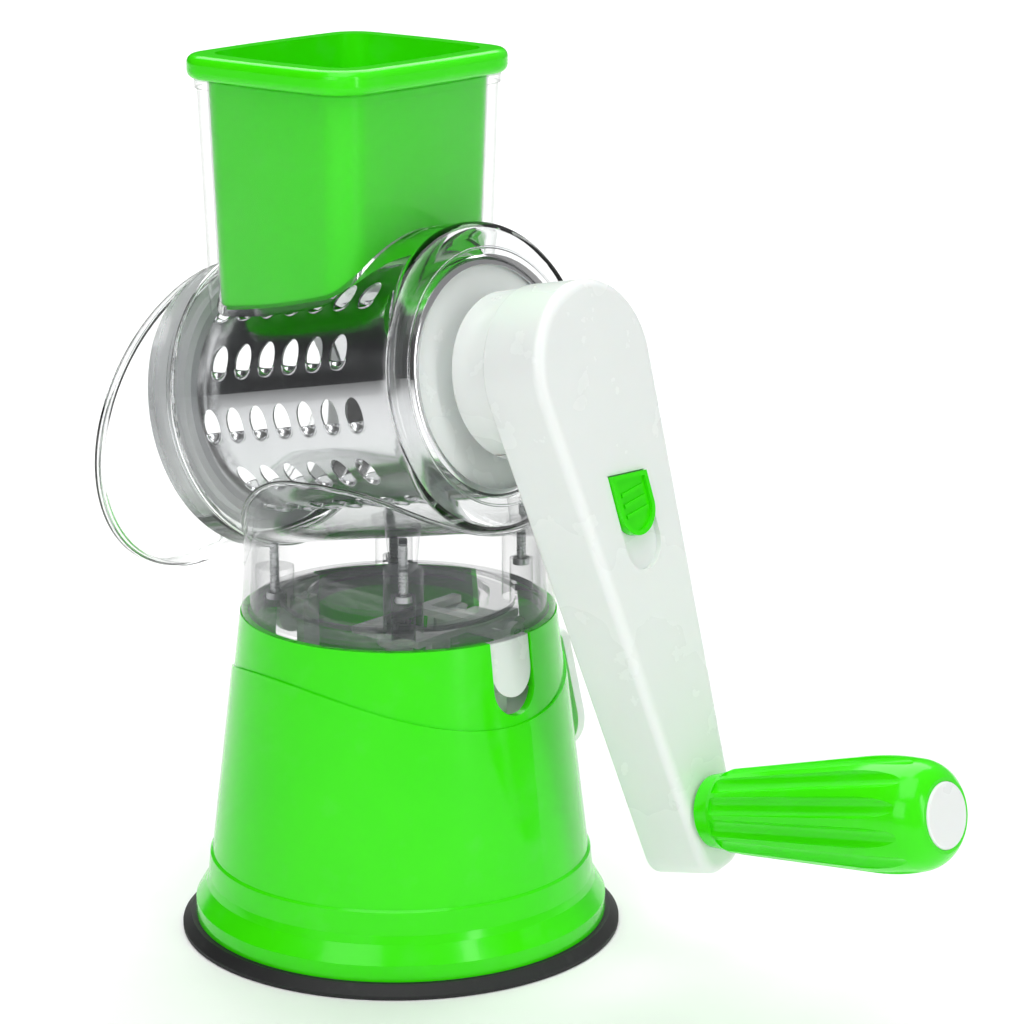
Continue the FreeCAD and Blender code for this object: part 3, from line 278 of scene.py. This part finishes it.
def saddle_point(turn):
    """Lowest place on the barrel's skin that is also on the waist, in one direction."""
    low, high = 0.095, 0.150
    for _ in range(HALVINGS):
        z = (low + high) / 2
        r = waist_radius(z)
        point = Vector((r * math.cos(turn), r * math.sin(turn), z)) - AXIS_POINT
        gap = (point - AXIS * point.dot(AXIS)).length - BARREL
        if gap > 0:
            low = z
        else:
            high = z
    return Vector((r * math.cos(turn), r * math.sin(turn), z))


turns = [2 * math.pi * i / BEAD_STEPS for i in range(BEAD_STEPS)]
saddle = [saddle_point(t) for t in turns]
flat_out = [Vector((math.cos(t), math.sin(t), 0.0)) for t in turns]
bead("saddle_bead", saddle, flat_out, 0.0009, clear, "base")
print("saddle from", round(min(p.z for p in saddle), 4), "to", round(max(p.z for p in saddle), 4))

# %% Rings on the barrel's ends


def ring(s, radius):
    """A circle round the drum's axis and its outward directions."""
    outward = [SIDE * math.cos(t) + UP * math.sin(t) for t in turns]
    return [on_axis(s) + v * radius for v in outward], outward


RIM_LEAN = math.radians(23.0)
RIM_DROP = 0.0032
RIM_RADIUS = 0.0461
bead("collar_bead", *ring(0.0368, 0.0349), 0.0004, clear, "base", 8)
bead("barrel_bead", *ring(-0.0455, 0.0423), 0.0006, clear, "base", 8)
rim_normal = (AXIS * -math.cos(RIM_LEAN) + UP * math.sin(RIM_LEAN)).normalized()
rim_up = rim_normal.cross(SIDE)
rim_out = [SIDE * math.cos(t) + rim_up * math.sin(t) for t in turns]
rim_centre = on_axis(-0.073, 0.0, -RIM_DROP) - rim_normal * 0.0010
rim_path = [rim_centre + v * RIM_RADIUS for v in rim_out]
bead("outlet_bead", rim_path, rim_out, 0.0010, clear, "base", 10)
print("rim centre", [round(v, 4) for v in rim_centre])

# %% [markdown]
# ## Scoops of the drum's holes
# The drum is punched sheet. Below each opening the sheet is pressed inward into a small scoop,
# which shows as a dark and bright crescent. One scoop is a quarter of a squashed ball, cut with
# two bisects, and the rest are copies of its mesh placed in rows of seven and six.
# %% One scoop
SCOOP_SIZE = (0.00315, 0.0031, 0.0021)
SHEET = 0.0004
deselect()
bpy.ops.mesh.primitive_uv_sphere_add(segments=24, ring_count=14, radius=1.0)
scoop = bpy.context.object
scoop.name = "drum_scoops"
bpy.ops.object.mode_set(mode="EDIT")
bpy.ops.mesh.select_all(action="SELECT")
bpy.ops.mesh.bisect(plane_co=(0, 0, 0), plane_no=(0, 0, 1), clear_outer=True)
bpy.ops.mesh.select_all(action="SELECT")
bpy.ops.mesh.bisect(plane_co=(0, 0, 0), plane_no=(0, 1, 0), clear_outer=True)
bpy.ops.mesh.select_all(action="SELECT")
bpy.ops.transform.resize(value=SCOOP_SIZE, center_override=(0.0, 0.0, 0.0))
bpy.ops.object.mode_set(mode="OBJECT")
skin = scoop.modifiers.new("skin", "SOLIDIFY")
skin.thickness = SHEET
skin.offset = -1.0
bpy.ops.object.modifier_apply(modifier="skin")
bpy.ops.object.shade_smooth()
print("one scoop", len(scoop.data.polygons), "faces")

# %% Rows of scoops
ROWS = 12
HOLES = 7
PITCH = 0.0091
FIRST_HOLE = -0.0402
ROW_TURN = math.radians(93.5)
SCOOP_SEAT = (-0.0034, 0.0328)
drum_place = Matrix((
    (AXIS.x, SIDE.x, UP.x, AXIS_POINT.x), (AXIS.y, SIDE.y, UP.y, AXIS_POINT.y),
    (AXIS.z, SIDE.z, UP.z, AXIS_POINT.z), (0, 0, 0, 1),
))
copies = []
for row in range(ROWS):
    shift = row % 2
    turn = Matrix.Rotation(ROW_TURN + 2 * math.pi * row / ROWS, 4, "X")
    for i in range(HOLES - shift):
        s = FIRST_HOLE + PITCH * (i + shift / 2)
        copy = scoop.copy()
        copy.data = scoop.data.copy()
        copy.data.transform(drum_place @ turn @ Matrix.Translation((s, *SCOOP_SEAT)))
        bpy.context.collection.objects.link(copy)
        copies.append(copy)
deselect()
bpy.data.objects.remove(scoop)
for copy in copies:
    copy.select_set(True)
scoops = copies[0]
bpy.context.view_layer.objects.active = scoops
bpy.ops.object.join()
scoops.name = "drum_scoops"
scoops.data.materials.append(steel)
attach(scoops, "drum")
print("scoops", len(copies), "faces", len(scoops.data.polygons))

# %% [markdown]
# ## Screw threads
# The four screws in the clear waist are in plain sight, and their threads catch the light. A
# thread is close enough to a stack of thin rings, so tori are stacked and joined into one piece.
# %% Threads of the housing screws
SCREW_X = 0.024
SCREW_Y = 0.025
SEATS = {-SCREW_X: 0.0982, SCREW_X: 0.106}
FIRST_RING = 0.0008
THREAD_PITCH = 0.001
THREAD_RINGS = 13
rings = []
for x, seat in SEATS.items():
    for y in (-SCREW_Y, SCREW_Y):
        for i in range(THREAD_RINGS):
            deselect()
            bpy.ops.mesh.primitive_torus_add(
                location=(x, y, seat + FIRST_RING + THREAD_PITCH * i),
                major_segments=20, minor_segments=6, major_radius=0.0012, minor_radius=0.0002,
            )
            rings.append(bpy.context.object)
deselect()
for item in rings:
    item.select_set(True)
threads = rings[0]
bpy.context.view_layer.objects.active = threads
bpy.ops.object.join()
bpy.ops.object.transform_apply(location=True, rotation=True, scale=True)
bpy.ops.object.shade_smooth()
threads.name = "screw_threads"
threads.data.materials.append(plated)
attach(threads, "base")
print("thread rings", len(rings))

# %% [markdown]
# ## Stage and light
# The photo is a plain studio shot on white. A large pale floor and three softboxes, above the
# object, in front of it and on its right, give the same even light and long soft highlights. A
# wide lamp behind shines straight down and lifts the background to white.
# %% Floor
bpy.ops.mesh.primitive_plane_add(size=14.0, location=(0.0, 0.0, -0.0002))
floor = bpy.context.object
floor.name = "floor"
floor.data.materials.append(finish(
    "floor_paper", rgba(0.90, 0.90, 0.90), rgba(0.93, 0.93, 0.93), (0.7, 0.8), 40.0, 0.02,
))

print("floor", tuple(round(v, 2) for v in floor.dimensions))

# %% [markdown]
# ## The room
# Polished steel shows the room more than itself. In the photo the drum has a dark band, because
# the studio is dark beyond its left end, and the green faces on that side are deeper too. So the
# world is white on the right and falls to dark grey on the left, along its own X direction. The
# plain tone curve keeps the lime colour as strong as the pigment.
# %% World and tone
world = bpy.context.scene.world or bpy.data.worlds.new("world")
bpy.context.scene.world = world
world.use_nodes = True
tree = world.node_tree
sky = tree.nodes["Background"]
direction = Sock(tree, tree.nodes.new("ShaderNodeTexCoord").outputs["Generated"])
across = direction.node("ShaderNodeSeparateXYZ", Vector=direction)
room = across.ramp(-0.55, -0.15).mix(rgba(0.11, 0.11, 0.113), rgba(1.0, 1.0, 1.0))
tree.links.new(room.socket, sky.inputs["Color"])
sky.inputs["Strength"].default_value = 0.34
bpy.context.scene.view_settings.view_transform = "Standard"
print("tone", bpy.context.scene.view_settings.view_transform)

# %% Softboxes
TARGET = Vector((0.0415, 0.0, 0.127))


def softbox(name, place, size, power):
    """A rectangular area light that faces the object."""
    bpy.ops.object.light_add(type="AREA", location=place)
    lamp = bpy.context.object
    lamp.name = name
    lamp.data.shape = "RECTANGLE"
    lamp.data.size, lamp.data.size_y = size
    lamp.data.energy = power
    lamp.rotation_euler = (TARGET - Vector(place)).to_track_quat("-Z", "Y").to_euler()
    return lamp


softbox("top_light", (0.25, -0.35, 1.3), (1.0, 1.0), 8.0)
softbox("front_light", (0.3, -1.5, 0.8), (0.9, 0.9), 6.5)
softbox("right_light", (1.3, -0.15, 0.55), (0.2, 1.1), 4.2)
backdrop = softbox("backdrop_light", (-1.2, 1.4, 2.0), (2.6, 2.6), 75.0)
backdrop.rotation_euler = (0.0, 0.0, 0.0)

# %% [markdown]
# ## Camera
# The lens and the place come from the photo: the ellipses of the drum's end, the cup and the
# chute's edges fit a long lens 0.95 m away, 40 degrees round and 15 degrees up.
# %% Camera
BACK = Vector((0.61898, -0.74240, 0.25645))
bpy.ops.object.camera_add(location=(0.62915, -0.70486, 0.37071))
camera = bpy.context.object
camera.rotation_euler = (-BACK).to_track_quat("-Z", "Y").to_euler()
camera.data.sensor_width = 36.0
camera.data.lens = 123.05
bpy.context.scene.camera = camera
print("camera", [round(v, 4) for v in camera.location])
